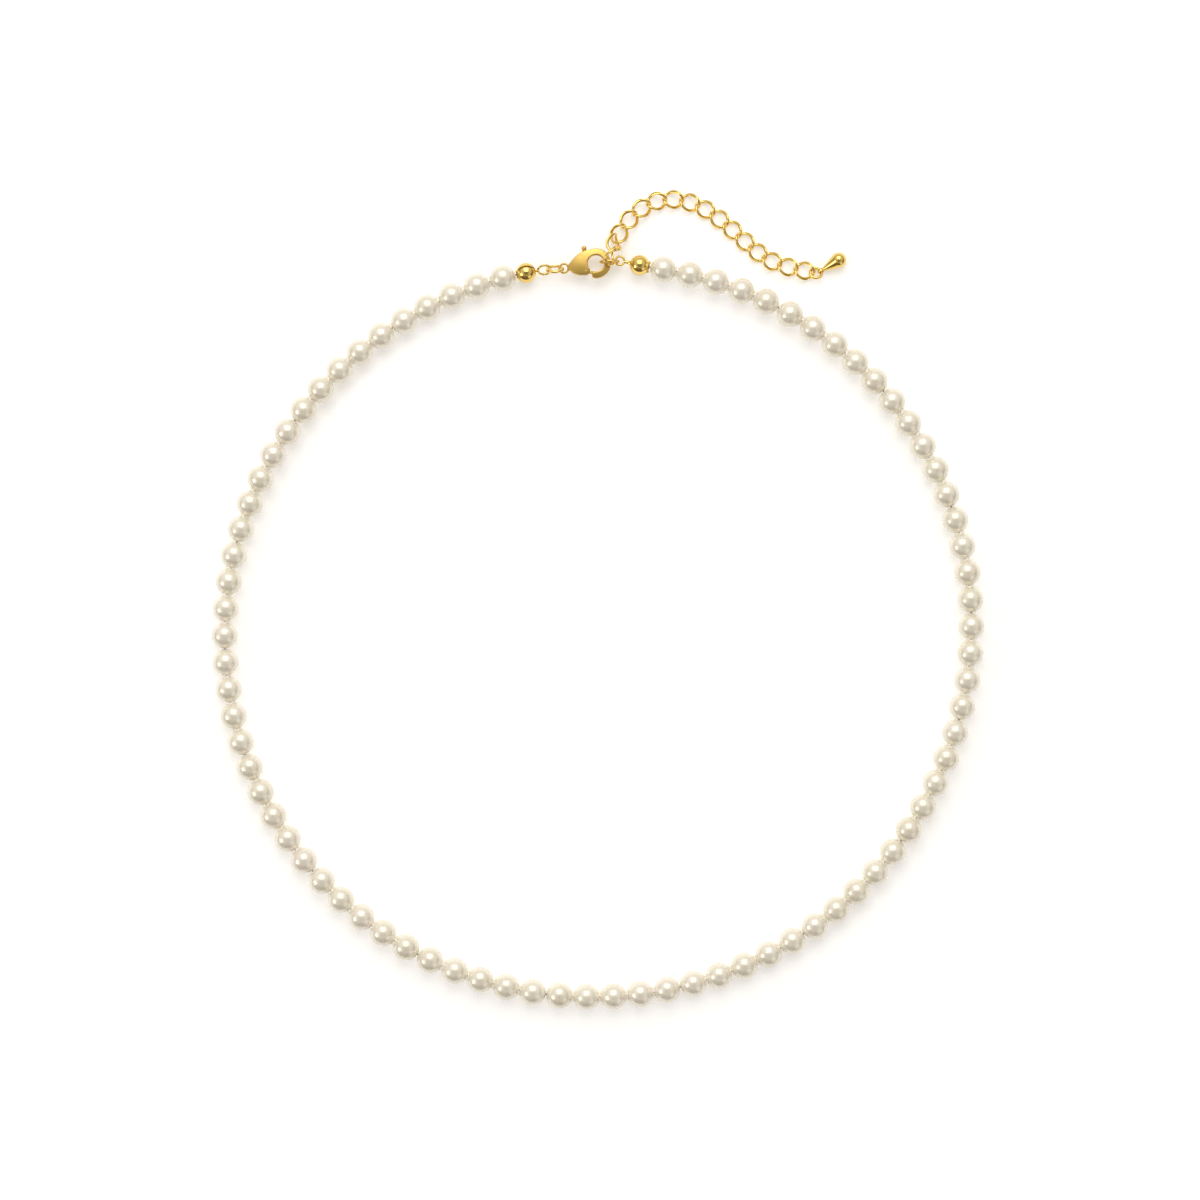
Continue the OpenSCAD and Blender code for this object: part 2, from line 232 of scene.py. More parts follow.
def rounded(length, radius, start, end, steps):
    """Profile of a rounded body that is turned about X, angles in degrees from +X."""
    angles = [math.radians(start + i * (end - start) / steps) for i in range(steps + 1)]
    return [(length * math.cos(a), max(POLE, radius * math.sin(a))) for a in angles]


def flat(points):
    return [Vector((x, y, 0)) for x, y in points]


class Shape:
    """Points and faces in millimetres."""

    def __init__(self, points=(), faces=()):
        self.points = [Vector(p) for p in points]
        self.faces = [tuple(f) for f in faces]

    def add(self, other, place=Matrix.Identity(4)):
        base = len(self.points)
        self.points += [place @ p for p in other.points]
        self.faces += [tuple(i + base for i in f) for f in other.faces]
        return self

    def placed(self, place):
        return Shape([place @ p for p in self.points], self.faces)

    def mesh(self, name, scale=1.0):
        data = bpy.data.meshes.new(name)
        data.from_pydata([p * scale for p in self.points], [], self.faces)
        bm = bmesh.new()
        bm.from_mesh(data)
        bmesh.ops.recalc_face_normals(bm, faces=bm.faces)
        bm.to_mesh(data)
        bm.free()
        return data


def grid_faces(rings, sides, closed):
    """Faces between rings of points, closed on itself or left open with end caps."""
    faces = []
    for i in range(rings if closed else rings - 1):
        j = (i + 1) % rings
        for s in range(sides):
            n = (s + 1) % sides
            faces.append((i * sides + s, i * sides + n, j * sides + n, j * sides + s))
    if not closed:
        faces.append(tuple(range(sides)))
        faces.append(tuple((rings - 1) * sides + s for s in range(sides)))
    return faces


def sweep(path, section, closed, normals=None):
    """A solid along a path. section(i) gives the (across, up) points of ring i."""
    count = len(path)
    points = []
    for i, p in enumerate(path):
        before = path[(i - 1) % count] if closed or i else p
        after = path[(i + 1) % count] if closed or i < count - 1 else p
        tangent = (after - before).normalized()
        normal = normals[i] if normals else UP
        across = tangent.cross(normal).normalized()
        up = across.cross(tangent)
        points += [p + across * u + up * v for u, v in section(i)]
    return Shape(points, grid_faces(count, len(section(0)), closed))


def lathe(profile, segments, closed=False):
    """Turns (x, r) points about the X axis. The profile is closed on itself, or capped at both ends."""
    points = [
        (x, r * math.cos(TAU * s / segments), r * math.sin(TAU * s / segments))
        for x, r in profile for s in range(segments)
    ]
    return Shape(points, grid_faces(len(profile), segments, closed))


def prism(outline, low, high):
    count = len(outline)
    points = [(x, y, z) for z in (low, high) for x, y in outline]
    faces = [tuple(range(count)), tuple(range(count, 2 * count))]
    faces += [(i, (i + 1) % count, (i + 1) % count + count, i + count) for i in range(count)]
    return Shape(points, faces)


def disc(centre, diameter, thickness):
    return prism(circle(centre, diameter / 2, 48), -thickness / 2, thickness / 2)


def bar(start, end, width, thickness):
    """A flat bar with round ends between two points."""
    heading = math.degrees(math.atan2(end[1] - start[1], end[0] - start[0]))
    outline = arc(start, width / 2, heading + 90, heading + 270, 17)
    outline += arc(end, width / 2, heading - 90, heading + 90, 17)
    return prism(outline, -thickness / 2, thickness / 2)


def eye(outer_d, hole_d, thickness):
    """A closed eye of oval wire about the Z axis."""
    path = flat(circle((0, 0), (outer_d + hole_d) / 4, 48))
    section = oval((outer_d - hole_d) / 4, thickness / 2, 16)
    return sweep(path, lambda i: section, True)


def split_ring(outer_d, wire, cut_angle, gap):
    """A ring of round wire with a butt split at cut_angle."""
    radius = (outer_d - wire) / 2
    half_gap = math.degrees(gap / 2 / radius)
    path = flat(arc((0, 0), radius, cut_angle + half_gap, cut_angle + 360 - half_gap, 97))
    ends = (0, len(path) - 1)

    def section(i):
        size = wire / 2 * (WIRE_END if i in ends else 1)
        return oval(size, size, 20)

    return sweep(path, section, False)


def evaluated(obj):
    """The object's final mesh as a Shape, and the object removed."""
    bpy.context.view_layer.update()
    final = obj.evaluated_get(bpy.context.evaluated_depsgraph_get())
    data = final.to_mesh()
    shape = Shape([v.co.copy() for v in data.vertices], [tuple(p.vertices) for p in data.polygons])
    final.to_mesh_clear()
    bpy.data.objects.remove(obj)
    return shape


def temporary(shape):
    obj = bpy.data.objects.new("temporary", shape.mesh("temporary"))
    bpy.context.collection.objects.link(obj)
    return obj


def weld(shape, voxel, rounds, swell):
    """Melts overlapping closed solids into one skin, rounds its edges and makes up for the loss."""
    obj = temporary(shape)
    remesh = obj.modifiers.new("remesh", "REMESH")
    remesh.mode = "VOXEL"
    remesh.voxel_size = voxel
    smooth = obj.modifiers.new("smooth", "SMOOTH")
    smooth.factor = 0.5
    smooth.iterations = rounds
    push = obj.modifiers.new("swell", "DISPLACE")
    push.mid_level = 0
    push.strength = swell
    return evaluated(obj)


def cut(shape, cutter):
    """shape without cutter."""
    tool = temporary(cutter)
    obj = temporary(shape)
    boolean = obj.modifiers.new("cut", "BOOLEAN")
    boolean.operation = "DIFFERENCE"
    boolean.solver = "EXACT"
    boolean.object = tool
    result = evaluated(obj)
    bpy.data.objects.remove(tool)
    return result


def piece(name, shape, material, slot, body, *nodes, sharp=50):
    """Makes the shape a piece of the model that rides on a body and stands for CAD nodes."""
    data = shape.mesh(name, MM)
    data.materials.append(material)
    data.shade_smooth()
    data.set_sharp_from_angle(angle=math.radians(sharp))
    obj = bpy.data.objects.new(name, data)
    bpy.context.collection.objects.link(obj)
    if body:
        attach(obj, body)
    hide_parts(*nodes)
    return obj


# ---------------------------------------------------------------- materials
NOISE_LOW, NOISE_HIGH = 0.3, 0.7      # nearly all values of a noise texture lie between these


def new_material(name):
    material = bpy.data.materials.new(name)
    material.use_nodes = True
    nodes = material.node_tree.nodes
    return material, nodes, material.node_tree.links, nodes["Principled BSDF"]


def object_noise(nodes, links, scale, detail=3.0, roughness=0.55):
    """Noise that is fixed to the object. scale is in features per metre."""
    place = nodes.new("ShaderNodeTexCoord")
    texture = nodes.new("ShaderNodeTexNoise")
    texture.inputs["Scale"].default_value = scale
    texture.inputs["Detail"].default_value = detail
    texture.inputs["Roughness"].default_value = roughness
    links.new(place.outputs["Object"], texture.inputs["Vector"])
    return texture.outputs["Fac"]


def ramp(nodes, links, source, *stops):
    """The colour for a value: stops are (value, colour)."""
    node = nodes.new("ShaderNodeValToRGB")
    node.color_ramp.elements[0].position = stops[0][0]
    node.color_ramp.elements[0].color = (*stops[0][1], 1)
    node.color_ramp.elements[1].position = stops[-1][0]
    node.color_ramp.elements[1].color = (*stops[-1][1], 1)
    for position, colour in stops[1:-1]:
        node.color_ramp.elements.new(position).color = (*colour, 1)
    links.new(source, node.inputs["Fac"])
    return node.outputs["Color"]


def two_tone(nodes, links, source, low, high):
    return ramp(nodes, links, source, (NOISE_LOW, low), (NOISE_HIGH, high))


def map_range(nodes, links, source, low, high):
    node = nodes.new("ShaderNodeMapRange")
    node.inputs["From Min"].default_value = NOISE_LOW
    node.inputs["From Max"].default_value = NOISE_HIGH
    node.inputs["To Min"].default_value = low
    node.inputs["To Max"].default_value = high
    links.new(source, node.inputs["Value"])
    return node.outputs["Result"]


def add_bump(nodes, links, shader, height, strength, distance):
    node = nodes.new("ShaderNodeBump")
    node.inputs["Strength"].default_value = strength
    node.inputs["Distance"].default_value = distance
    links.new(height, node.inputs["Height"])
    links.new(node.outputs["Normal"], shader.inputs["Normal"])


def pearl_lacquer():
    """Ivory pearl coating: soft colour drift from pearl to pearl, a clear gloss coat over it."""
    material, nodes, links, shader = new_material("pearl_lacquer")
    drift = object_noise(nodes, links, 150, 2)
    tint = ramp(
        nodes, links, drift,
        (NOISE_LOW, (0.89, 0.83, 0.68)), (0.5, (0.93, 0.88, 0.74)), (NOISE_HIGH, (0.93, 0.86, 0.75)),
    )
    links.new(tint, shader.inputs["Base Color"])
    nacre = object_noise(nodes, links, 1200, 2)
    links.new(map_range(nodes, links, nacre, 0.24, 0.31), shader.inputs["Roughness"])
    add_bump(nodes, links, shader, nacre, 0.02, 0.00001)
    shader.inputs["IOR"].default_value = 1.5
    shader.inputs["Metallic"].default_value = 0.3
    shader.inputs["Coat Weight"].default_value = 0.7
    shader.inputs["Coat Roughness"].default_value = 0.12
    shader.inputs["Coat IOR"].default_value = 1.5
    shader.inputs["Sheen Weight"].default_value = 0.1
    shader.inputs["Sheen Roughness"].default_value = 0.4
    shader.inputs["Sheen Tint"].default_value = (1.0, 0.93, 0.82, 1)
    return material


def gold(name, deep, pale, rough_low, rough_high, grain, bump):
    """Yellow gold plating. The grain is faint on polished wire and stronger on the satin clasp."""
    material, nodes, links, shader = new_material(name)
    shade = object_noise(nodes, links, 400, 2)
    links.new(two_tone(nodes, links, shade, deep, pale), shader.inputs["Base Color"])
    fine = object_noise(nodes, links, grain, 5, 0.65)
    links.new(map_range(nodes, links, fine, rough_low, rough_high), shader.inputs["Roughness"])
    add_bump(nodes, links, shader, fine, bump, 0.00003)
    shader.inputs["Metallic"].default_value = 1.0
    return material


def steel():
    material, nodes, links, shader = new_material("spring_steel")
    fine = object_noise(nodes, links, 9000, 3)
    tint = two_tone(nodes, links, fine, (0.42, 0.42, 0.43), (0.6, 0.6, 0.6))
    links.new(tint, shader.inputs["Base Color"])
    shader.inputs["Metallic"].default_value = 1.0
    shader.inputs["Roughness"].default_value = 0.35
    return material


def thread_fibre():
    """Off-white twisted thread with fine fibres."""
    material, nodes, links, shader = new_material("thread_fibre")
    fine = object_noise(nodes, links, 12000, 3)
    tint = two_tone(nodes, links, fine, (0.82, 0.73, 0.56), (0.93, 0.87, 0.74))
    links.new(tint, shader.inputs["Base Color"])
    add_bump(nodes, links, shader, fine, 0.4, 0.00003)
    shader.inputs["Roughness"].default_value = 0.8
    shader.inputs["Sheen Weight"].default_value = 0.4
    return material


def paper(name, colour, painted_glow):
    """The pale seamless floor. It also glows evenly in its own colour: painted light that fills in its cast
    shadows and lights the pearls from below.
    """
    material, nodes, links, shader = new_material(name)
    grain = object_noise(nodes, links, 900, 3)
    shaded = tuple(c * 0.985 for c in colour)
    links.new(two_tone(nodes, links, grain, shaded, colour), shader.inputs["Base Color"])
    shader.inputs["Roughness"].default_value = 0.9
    shader.inputs["Specular IOR Level"].default_value = 0.2
    # painted light: the floor glows by itself, so it shows blown white and its shadows wash out
    shader.inputs["Emission Color"].default_value = (*colour, 1)
    shader.inputs["Emission Strength"].default_value = painted_glow
    return material


PEARL = pearl_lacquer()
POLISHED = gold("polished_gold", (0.81, 0.57, 0.16), (0.89, 0.66, 0.21), 0.09, 0.17, 5000, 0.05)
SATIN = gold("satin_gold", (0.66, 0.44, 0.11), (0.76, 0.52, 0.15), 0.30, 0.42, 14000, 0.15)
STEEL = steel()
THREAD = thread_fibre()


# ---------------------------------------------------------------- the loop of the strand
def edge_heading(k):
    """Heading of edge k. It runs round the loop once, and a second harmonic makes the loop oval."""
    swing = 1.5 * OVAL * math.degrees(1)
    return -(360 * k / PITCHES + swing * math.sin(math.radians(720 * k / PITCHES - 2 * OVAL_AXIS)))


def loop_corners():
    steps = [PITCH * direction(edge_heading(k)) for k in range(PITCHES)]
    corner = -sum(steps[:FRONT_EDGE], Vector()) / 2
    corners = [corner]
    for step in steps:
        corner = corner + step
        corners.append(corner)
    return [Vector((c.x, c.y, STRAND_Z)) for c in corners]


CORNERS = loop_corners()
END_CORNERS = {"left": CORNERS[PITCHES - FIRST_EDGE + 1], "right": CORNERS[FIRST_EDGE]}


def on_edge(k):
    """Frame of the pearl on edge k: its middle, with +X along the strand."""
    return Matrix.Translation((CORNERS[k] + CORNERS[k + 1]) / 2) @ turn("Z", edge_heading(k))


def at_tip(side):
    """Frame of a bead tip: the end of the strand, with +X away from the pearls."""
    return Matrix.Translation(END_CORNERS[side]) @ turn("Z", TIPS[side]["heading"])


def runs():
    """(body, node, first edge, last edge) of each run of pearls."""
    reach = (FRONT_RUN - 1) // 2
    made = [("root", "pearls_front", FRONT_EDGE - reach, FRONT_EDGE + reach)]
    for i, count in enumerate(SIDE_RUNS, 1):
        near, far = reach + 1, reach + count
        made.append((f"right_{i}", f"pearls_right_{i}", FRONT_EDGE - far, FRONT_EDGE - near))
        made.append((f"left_{i}", f"pearls_left_{i}", FRONT_EDGE + near, FRONT_EDGE + far))
        reach = far
    return made


def bent(start, corner, end, steps):
    """Points of a curve that leaves start and reaches end along the two sides of a corner."""
    points = []
    for i in range(steps + 1):
        t = i / steps
        shares = ((1 - t) ** 2, 2 * t * (1 - t), t**2)
        points.append(tuple(sum(w * p[n] for w, p in zip(shares, (start, corner, end))) for n in (0, 1)))
    return points


def collar(lean):
    """Profile of the lacquer collar round the bore at the pearl's +X end, from its foot inwards.

    Its face leans back by the given angle, so that it clears the next pearl when the strand bends.
    """
    def face(r):
        limit = (PEARL_D + PEARL_GAP) / 2 - COLLAR_ROOM - r * math.tan(math.radians(lean))
        return min(PEARL_D / 2 - COLLAR_INSET, limit)

    foot = math.sqrt((PEARL_D / 2) ** 2 - COLLAR_FOOT_R**2)
    slope = COLLAR_FOOT_R / foot
    edge = face(COLLAR_R)
    top = (edge - COLLAR_ROUND, COLLAR_R)
    inner = COLLAR_R - COLLAR_ROUND
    flare = bent((foot, COLLAR_FOOT_R), (foot + slope * (COLLAR_FOOT_R - COLLAR_R), COLLAR_R), top, 6)
    rim = bent(top, (edge, COLLAR_R), (face(inner), inner), 4)
    lip = BORE_D / 2 + PEARL_RIM
    return flare[1:] + rim[1:] + [(face(lip), lip), (face(lip) - PEARL_RIM, BORE_D / 2)]


def pearl_shape(lean_back, lean_ahead):
    """A drilled pearl along X, with a lacquer collar round each end of its bore."""
    foot = math.degrees(math.asin(COLLAR_FOOT_R / (PEARL_D / 2)))
    skin = arc((0, 0), PEARL_D / 2, foot, 180 - foot, 32)
    ahead = collar(lean_ahead)
    back = [(-x, r) for x, r in collar(lean_back)]
    wall = [(x * PEARL_D / 4, BORE_D / 2) for x in (-1, 0, 1)]
    return lathe(skin + back + wall + list(reversed(ahead)), 56, closed=True)


def uneven(shape, k):
    """The pearl with the faint swell that no two dipped beads share, read from noise at its own place."""
    place = k * Vector((7.3, 3.1, 1.7))
    size = 1 - PEARL_SPREAD * random.random() - PEARL_INSET
    points = [p * (size + PEARL_SWELL * noise.noise(p * SWELL_PER_MM + place)) for p in shape.points]
    return Shape(points, shape.faces)


def make_pearls():
    for body, node, first, last in runs():
        shape = Shape()
        for k in range(first, last + 1):
            back = RUN_LEAN if k == first else LOOP_LEAN
            ahead = RUN_LEAN if k == last else LOOP_LEAN
            spin = turn("X", random.uniform(0, 360))
            shape.add(uneven(pearl_shape(back, ahead).placed(spin), k), on_edge(k))
        piece(f"{node}_nacre", shape, PEARL, "pearl", body, node, sharp=60)


def thread_shape(path):
    """Plied thread along a path of corners, with closed ends."""
    points = []
    for a, b in zip(path, path[1:]):
        count = max(2, round((b - a).length / THREAD_STEP))
        points += [a.lerp(b, i / count) for i in range(count)]
    points.append(path[-1])

    def section(i):
        phase = TAU * i * THREAD_STEP / THREAD_LAY
        ring = []
        for angle in [TAU * s / 12 for s in range(12)]:
            radius = THREAD_D / 2 * (1 - PLY_DEPTH + PLY_DEPTH * math.cos(PLIES * angle))
            ring.append((radius * math.cos(angle + phase), radius * math.sin(angle + phase)))
        return ring

    return sweep(points, section, False)


def make_thread():
    for body, node, first, last in runs():
        name = node.replace("pearls", "thread")
        piece(name, thread_shape(CORNERS[first:last + 2]), THREAD, "thread", body, "thread")
    for side in TIPS:
        start = END_CORNERS[side]
        reach = TIP_BALL_AT + CRIMP_LENGTH / 2
        path = [start, start + reach * direction(TIPS[side]["heading"])]
        piece(f"thread_end_{side}", thread_shape(path), THREAD, "thread", f"{side}_tip", "thread")


# ---------------------------------------------------------------- bead tips and jump rings
def cup():
    """Half of a bead tip's ball, on the +Y side of the seam, as a shell with a rounded rim."""
    outer, inner = TIP_BALL_D / 2, TIP_BALL_D / 2 - TIP_WALL
    low = TIP_SEAM / 2
    outer_end = math.degrees(math.asin((low + TIP_RIM) / outer))
    inner_end = math.degrees(math.asin((low + TIP_RIM / 2) / inner))
    profile = arc((0, 0), outer, 90, outer_end, 22)
    profile.append((math.sqrt(outer**2 - low**2) - TIP_RIM * 0.9, low + TIP_RIM * 0.15))
    profile.append((math.sqrt(inner**2 - low**2) + TIP_RIM / 2, low))
    profile += arc((0, 0), inner, inner_end, 90, 18)
    turned = [(y, max(POLE, r)) for r, y in profile]
    return lathe(turned, 56, closed=True).placed(turn("Z", 90))


def fold_lug(end):
    """One of the two rounded lugs beside the thread hole, where the fold joins the cups."""
    lug = lathe(rounded(LUG_LENGTH, LUG_RADIUS, 0, 180, 16), 24)
    return lug.placed(move(WELD_INSET - TIP_BALL_D / 2, 0, end * LUG_SPREAD) @ turn("Y", end * LUG_LEAN))


def strap(reach):
    """The strap from one cup to the loop. It narrows and thickens on its way in to the middle."""
    start = TIP_BALL_D / 2 - WELD_INSET
    offset = TIP_SEAM / 2 + STRAP_OFFSET
    shares = [i / 10 for i in range(11)]
    path = [Vector((start + (reach - start) * t, offset * (1 - t) ** 2, 0)) for t in shares]

    def section(i):
        return oval((STRAP_THICKNESS + STRAP_THICKENS * shares[i]) / 2,
                    (STRAP_WIDTH - STRAP_NARROWS * shares[i]) / 2, 16)

    return sweep(path, section, False)


def bead_tip(side):
    facts = TIPS[side]
    hole = lathe([(-TIP_BALL_D, BORE_D / 2), (0, BORE_D / 2)], 24)
    half = cut(cup(), hole)
    ball = Shape().add(half).add(half.placed(turn("X", 180)))
    for end in (-1, 1):
        ball.add(fold_lug(end))
    ball.add(strap(facts["loop_at"] - TIP_BALL_AT - (facts["loop_d"] - TIP_WIRE) / 2))
    shape = Shape().add(ball, move(TIP_BALL_AT) @ turn("X", facts["seam_roll"]))
    loop = split_ring(facts["loop_d"], TIP_WIRE, LOOP_CUT, LOOP_GAP)
    shape.add(loop, move(facts["loop_at"]) @ turn("X", facts["loop_tilt"]))
    return shape.placed(at_tip(side))


def make_tips_and_rings():
    for side in TIPS:
        piece(f"bead_tip_{side}_cups", bead_tip(side), POLISHED, "polished_gold",
              f"{side}_tip", f"bead_tip_{side}")
        facts = JUMP_RINGS[side]
        place = move(*facts["at"]) @ turn("X", facts["tilt"])
        ring = split_ring(facts["d"], RING_WIRE, facts["cut"], RING_CUT).placed(place)
        piece(f"jump_ring_{side}_wire", ring, POLISHED, "polished_gold", f"{side}_ring", f"jump_ring_{side}")


# ---------------------------------------------------------------- lobster clasp
AT_CLASP = move(*CLASP_AT) @ turn("Z", CLASP_HEADING)


def clasp_plate():
    """The clasp's flat form: the hook's arc to its nose, and the wedge that ends at the tail."""
    hook = arc((0, 0), HOOK_D / 2, MOUTH_TO - 360, SHOULDER_FROM, 60)
    boss = arc(PIVOT, BOSS_D / 2, *BOSS_ARC, 16)
    hole = arc((0, 0), HOOK_HOLE_D / 2, MOUTH_FROM, MOUTH_TO - 360, 60)
    return hook + SHOULDER + TAIL + BELLY + boss + hole


def domed(shape):
    """Thins the clasp away from its middle, so both faces are gently domed."""
    for p in shape.points:
        drop = ((p.x - DOME_MIDDLE) ** 2 + p.y**2) / (2 * FACE_RADIUS)
        p.z *= max(THINNEST, 1 - drop / (CLASP_THICKNESS / 2))
    return shape


def clasp_body():
    half = CLASP_THICKNESS / 2
    plate = prism(clasp_plate(), -half, half)
    nose_at = direction(MOUTH_TO) * (HOOK_D + HOOK_HOLE_D) / 4
    plate.add(disc(nose_at, (HOOK_D - HOOK_HOLE_D) / 2, CLASP_THICKNESS))
    plate = domed(weld(plate, voxel=0.07, rounds=14, swell=0.045))
    plate.add(eye(EYE_D, EYE_HOLE_D, EYE_THICKNESS), move(-CLASP_LENGTH))
    body = weld(plate, voxel=0.06, rounds=5, swell=0.01)
    slot = prism([(x + PIVOT[0], y + PIVOT[1]) for x, y in SLOT_OUTLINE], -SLOT_HEIGHT / 2, SLOT_HEIGHT / 2)
    return cut(body, slot).placed(AT_CLASP)


def clasp_lever():
    parts = bar(PIVOT, LEVER_ELBOW, LEVER_WIDTH, LEVER_THICKNESS)
    parts.add(bar(LEVER_ELBOW, LEVER_THUMB, LEVER_WIDTH, LEVER_THICKNESS))
    parts.add(bar(PIVOT, LEVER_TIP, LEVER_WIDTH, LEVER_THICKNESS))
    parts.add(disc(PIVOT, 2 * LEVER_WIDTH, LEVER_THICKNESS))
    parts.add(lathe(rounded(THUMB_D / 2, THUMB_D / 2, 0, 180, 15), 24), move(*LEVER_THUMB))
    return weld(parts, voxel=0.05, rounds=5, swell=0.012).placed(AT_CLASP)


def clasp_pin():
    """A rivet with slightly domed heads, flush with both faces."""
    half, radius = CLASP_THICKNESS / 2, PIN_D / 2
    head = [
        (half - RIVET_HEAD, radius), (half - 0.04, radius * 0.95), (half - 0.01, radius * 0.6),
        (half, 2 * POLE),
    ]
    profile = [(-x, r) for x, r in reversed(head)] + head
    return lathe(profile, 24).placed(AT_CLASP @ move(*PIVOT) @ turn("Y", 90))


def clasp_spring():
    """A thin leaf bent into a V: one leg on the body, the other on the lever's thumb arm."""
    pivot = Vector((*PIVOT, 0))
    bend = pivot + SPRING_START * direction(sum(SPRING_LEGS) / 2)
    legs = [pivot + SPRING_END * direction(angle) for angle in SPRING_LEGS]
    shares = [i / 12 for i in range(13)]
    path = [legs[1].lerp(bend, t) for t in shares[:-1]] + [bend.lerp(legs[0], t) for t in shares]
    wide, thin = SPRING_HEIGHT / 2, SPRING_WIRE / 2
    section = [(-thin, -wide), (thin, -wide), (thin, wide), (-thin, wide)]
    return sweep(path, lambda i: section, False).placed(AT_CLASP), legs


def make_clasp():
    piece("clasp_body_shell", clasp_body(), SATIN, "satin_gold", "clasp", "clasp_body", sharp=35)
    piece("clasp_lever_arm", clasp_lever(), SATIN, "satin_gold", "lever", "clasp_lever")
    piece("clasp_pin_rivet", clasp_pin(), POLISHED, "satin_gold", "clasp", "clasp_pin")
    shape, legs = clasp_spring()
    spring = piece("clasp_spring_leaf", shape, STEEL, "spring_steel", None, "clasp_spring", sharp=30)
    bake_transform(spring)


# ---------------------------------------------------------------- extension chain and drop
def signed_power(value, power):
    return math.copysign(abs(value) ** power, value)


def curb_link():
    """A twisted curb link of round wire, pressed wider and flatter along its two sides."""
    a, b = (LINK_LENGTH - LINK_WIRE) / 2, (LINK_WIDTH - LINK_WIRE) / 2
    angles = [TAU * i / 96 for i in range(96)]
    path, normals = [], []
    for t in angles:
        twist = math.radians(LINK_TWIST) * math.cos(t)
        side = b * math.sin(t)
        path.append(Vector((a * math.cos(t), side * math.cos(twist), side * math.sin(twist))))
        normals.append(Vector((0, -math.sin(twist), math.cos(twist))))

    def section(i):
        press = abs(math.sin(angles[i])) ** 3
        out, up = LINK_WIRE / 2 + PRESS_OUT * press, LINK_WIRE / 2 - PRESS_FLAT * press
        power = 1 - PRESS_SQUARE * press
        return [
            (PRESS_OUT * press + out * signed_power(c, power), up * signed_power(s, power))
            for c, s in oval(1, 1, 20)
        ]

    return sweep(path, section, True, normals)


def chain_places():
    """The frame of each link, in order."""
    places = [
        move(x, y, z) @ turn("Z", heading) @ turn("Y", dip) @ turn("X", roll)
        for x, y, z, heading, dip, roll in HEAPED_LINKS
    ]
    x, y, _, heading, _, _ = HEAPED_LINKS[-1]
    end = Vector((x, y, FLAT_Z)) + LINK_PITCH / 2 * direction(heading)
    for heading in FLAT_HEADINGS:
        middle = end + LINK_PITCH / 2 * direction(heading)
        places.append(Matrix.Translation(middle) @ turn("Z", heading))
        end = end + LINK_PITCH * direction(heading)
    return places


def teardrop():
    """A solid cone that swells into a round end, with a drilled eye."""
    ball_at = DROP_LENGTH - (DROP_D + DROP_EYE_D) / 2
    lean = math.degrees(math.asin((DROP_D - DROP_NECK_D) / 2 / (ball_at - DROP_NECK_AT)))
    neck = DROP_NECK_AT - DROP_NECK_OVERLAP
    profile = [(neck, POLE), (neck, DROP_NECK_D / 2)]
    profile += [(ball_at + x, r) for x, r in rounded(DROP_D / 2, DROP_D / 2, 90 + lean, 0, 24)]
    both = lathe(profile, 48).add(eye(DROP_EYE_D, DROP_EYE_HOLE_D, DROP_EYE_WIDTH), turn("X", 90))
    return weld(both, voxel=0.05, rounds=4, swell=0.01)


def make_chain():
    link = curb_link()
    places = chain_places()
    for i, place in enumerate(places, 1):
        piece(f"chain_link_{i}_wire", link.placed(place), POLISHED, "polished_gold",
              f"link_{i}", f"chain_link_{i}")
    lift = move(0, 0, DROP_RING_LIFT)
    at_ring = lift @ places[-1] @ move(DROP_RING_REACH) @ turn("X", DROP_RING_TILT)
    ring = split_ring(DROP_RING_D, DROP_WIRE, DROP_RING_CUT_AT, RING_CUT).placed(at_ring)
    piece("drop_ring_wire", ring, POLISHED, "polished_gold", "drop_ring", "drop_ring")
    reach = (DROP_RING_D - DROP_WIRE) / 2
    at_drop = at_ring @ turn("Z", DROP_TURN) @ move(reach) @ turn("Y", DROP_PITCH)
    piece("drop_cast", teardrop().placed(at_drop), POLISHED, "polished_gold", "drop", "drop")


def dress_cad_nodes():
    """CAD nodes that stay as they are get the finished material."""
    for name in ("crimp_left", "crimp_right"):
        for material_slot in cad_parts[name].material_slots:
            material_slot.material = POLISHED


# ---------------------------------------------------------------- stage
VIEW_TARGET = (0.64, 5.77, STRAND_Z)     # the middle of the picture, on the pearls' mid-plane
VIEW_WIDTH = 225.6                       # width of the picture at that height
VIEW_ROLL = 2.6                          # the clasp lies this far to the left of straight up
LENS = 100.0
SENSOR = 36.0
FLOOR_REACH = 3000
FLOOR_Z = -0.02


def make_camera():
    data = bpy.data.cameras.new("camera")
    data.lens = LENS
    data.sensor_width = SENSOR
    camera = bpy.data.objects.new("camera", data)
    bpy.context.collection.objects.link(camera)
    distance = VIEW_WIDTH * LENS / SENSOR
    camera.location = (Vector(VIEW_TARGET) + distance * UP) * MM
    camera.rotation_euler = (0, 0, -math.radians(VIEW_ROLL))
    data.clip_start, data.clip_end = 0.01, 10
    bpy.context.scene.camera = camera


def soft_light(name, at, size, power, colour=(1, 1, 1)):
    """A square soft box that faces the middle of the necklace."""
    data = bpy.data.lights.new(name, "AREA")
    data.shape = "SQUARE"
    data.size = size
    data.energy = power
    data.color = colour
    light = bpy.data.objects.new(name, data)
    bpy.context.collection.objects.link(light)
    light.location = at
    light.rotation_mode = "QUATERNION"
    light.rotation_quaternion = (-Vector(at)).to_track_quat("-Z", "Y")
    light.visible_camera = False


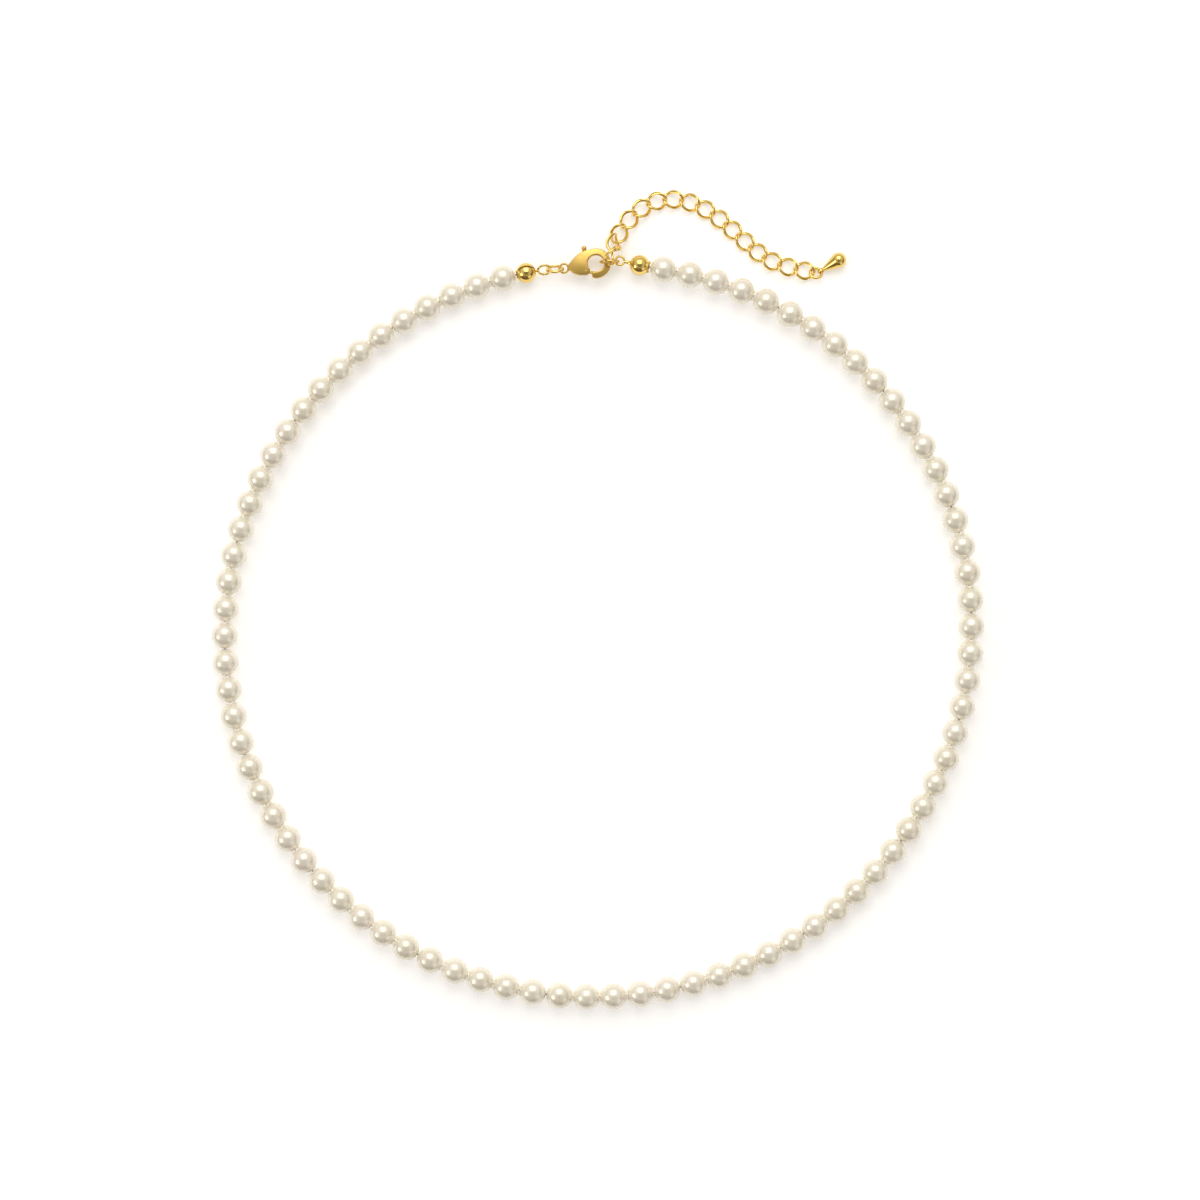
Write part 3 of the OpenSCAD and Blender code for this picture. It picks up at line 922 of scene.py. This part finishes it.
def make_world():
    """Studio room: brightest behind the key light, dim low down in front, darker overhead."""
    world = bpy.data.worlds.new("studio")
    world.use_nodes = True
    nodes, links = world.node_tree.nodes, world.node_tree.links
    place = nodes.new("ShaderNodeTexCoord")
    towards_key = nodes.new("ShaderNodeVectorMath")
    towards_key.operation = "DOT_PRODUCT"
    towards_key.inputs[1].default_value = (0, 0.5, 0.866)
    links.new(place.outputs["Generated"], towards_key.inputs[0])
    room = ramp(
        nodes, links, towards_key.outputs["Value"],
        (0.0, (0.16, 0.13, 0.10)), (0.25, (0.28, 0.24, 0.20)), (0.5, (0.62, 0.58, 0.54)),
        (0.8, (0.80, 0.77, 0.73)), (1.0, (0.80, 0.77, 0.73)),
    )
    links.new(room, nodes["Background"].inputs["Color"])
    height = nodes.new("ShaderNodeSeparateXYZ")
    links.new(place.outputs["Generated"], height.inputs["Vector"])
    overhead = ramp(nodes, links, height.outputs["Z"], (0.82, (1, 1, 1)), (0.92, (0.3, 0.3, 0.3)))
    links.new(overhead, nodes["Background"].inputs["Strength"])
    bpy.context.scene.world = world


def make_stage():
    outline = [(-FLOOR_REACH, -FLOOR_REACH), (FLOOR_REACH, -FLOOR_REACH),
               (FLOOR_REACH, FLOOR_REACH), (-FLOOR_REACH, FLOOR_REACH)]
    floor = Shape([(x, y, FLOOR_Z) for x, y in outline], [(0, 1, 2, 3)])
    data = floor.mesh("floor", MM)
    # the floor's glow of 0.33 is painted light that fills in cast shadows
    data.materials.append(paper("floor_paper", (0.94, 0.94, 0.94), 0.33))
    obj = bpy.data.objects.new("floor", data)
    bpy.context.collection.objects.link(obj)
    soft_light("key", (0.02, 0.56, 0.83), 0.8, 4, (1, 0.99, 0.97))
    soft_light("left_fill", (-0.83, -0.23, 0.5), 0.45, 1.6)
    soft_light("right_fill", (0.62, -0.68, 0.42), 0.6, 0.9)
    make_world()
    bpy.context.scene.view_settings.view_transform = "Standard"


make_camera()
make_stage()
make_pearls()
make_thread()
make_tips_and_rings()
make_clasp()
make_chain()
dress_cad_nodes()
